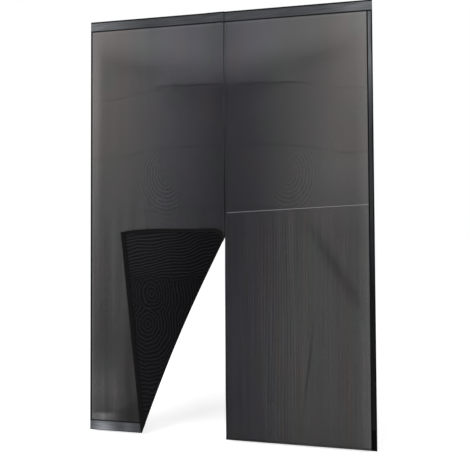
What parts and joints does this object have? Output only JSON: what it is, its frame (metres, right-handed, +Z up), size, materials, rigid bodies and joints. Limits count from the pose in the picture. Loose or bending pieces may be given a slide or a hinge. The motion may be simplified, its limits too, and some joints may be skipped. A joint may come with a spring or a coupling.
{
  "type": "adhesive insect screen",
  "caption": "Black two-panel net screen for a doorway, hung from a ribbed header band on adhesive hook tape, one lower corner turned up.",
  "frame": {"origin": "centre of the sticky back face of the lintel hook tape, on the wall plane", "axes": "+Z up, +Y from the room side through the doorway into the wall, +X to the right seen from the front"},
  "size_m": [1.5, 0.0156, 2.2],
  "materials": {
    "net": "fine open polyester net, dark grey",
    "webbing": "ribbed woven band, black",
    "binding": "folded woven binding, black",
    "hook_tape": "nylon hook tape with a sticky back, black"
  },
  "bodies": {
    "root": {"left_net": "net", "right_net": "net", "left_header_band": "webbing", "right_header_band": "webbing", "left_bottom_band": "webbing", "left_side_binding": "binding", "right_side_binding": "binding", "right_side_binding_foot": "binding", "left_inner_binding": "binding", "right_inner_binding": "binding", "right_bottom_hem": "binding", "lintel_hook_tape": "hook_tape", "left_side_hook_tape": "hook_tape", "right_side_hook_tape": "hook_tape"}
  },
  "joints": []
}
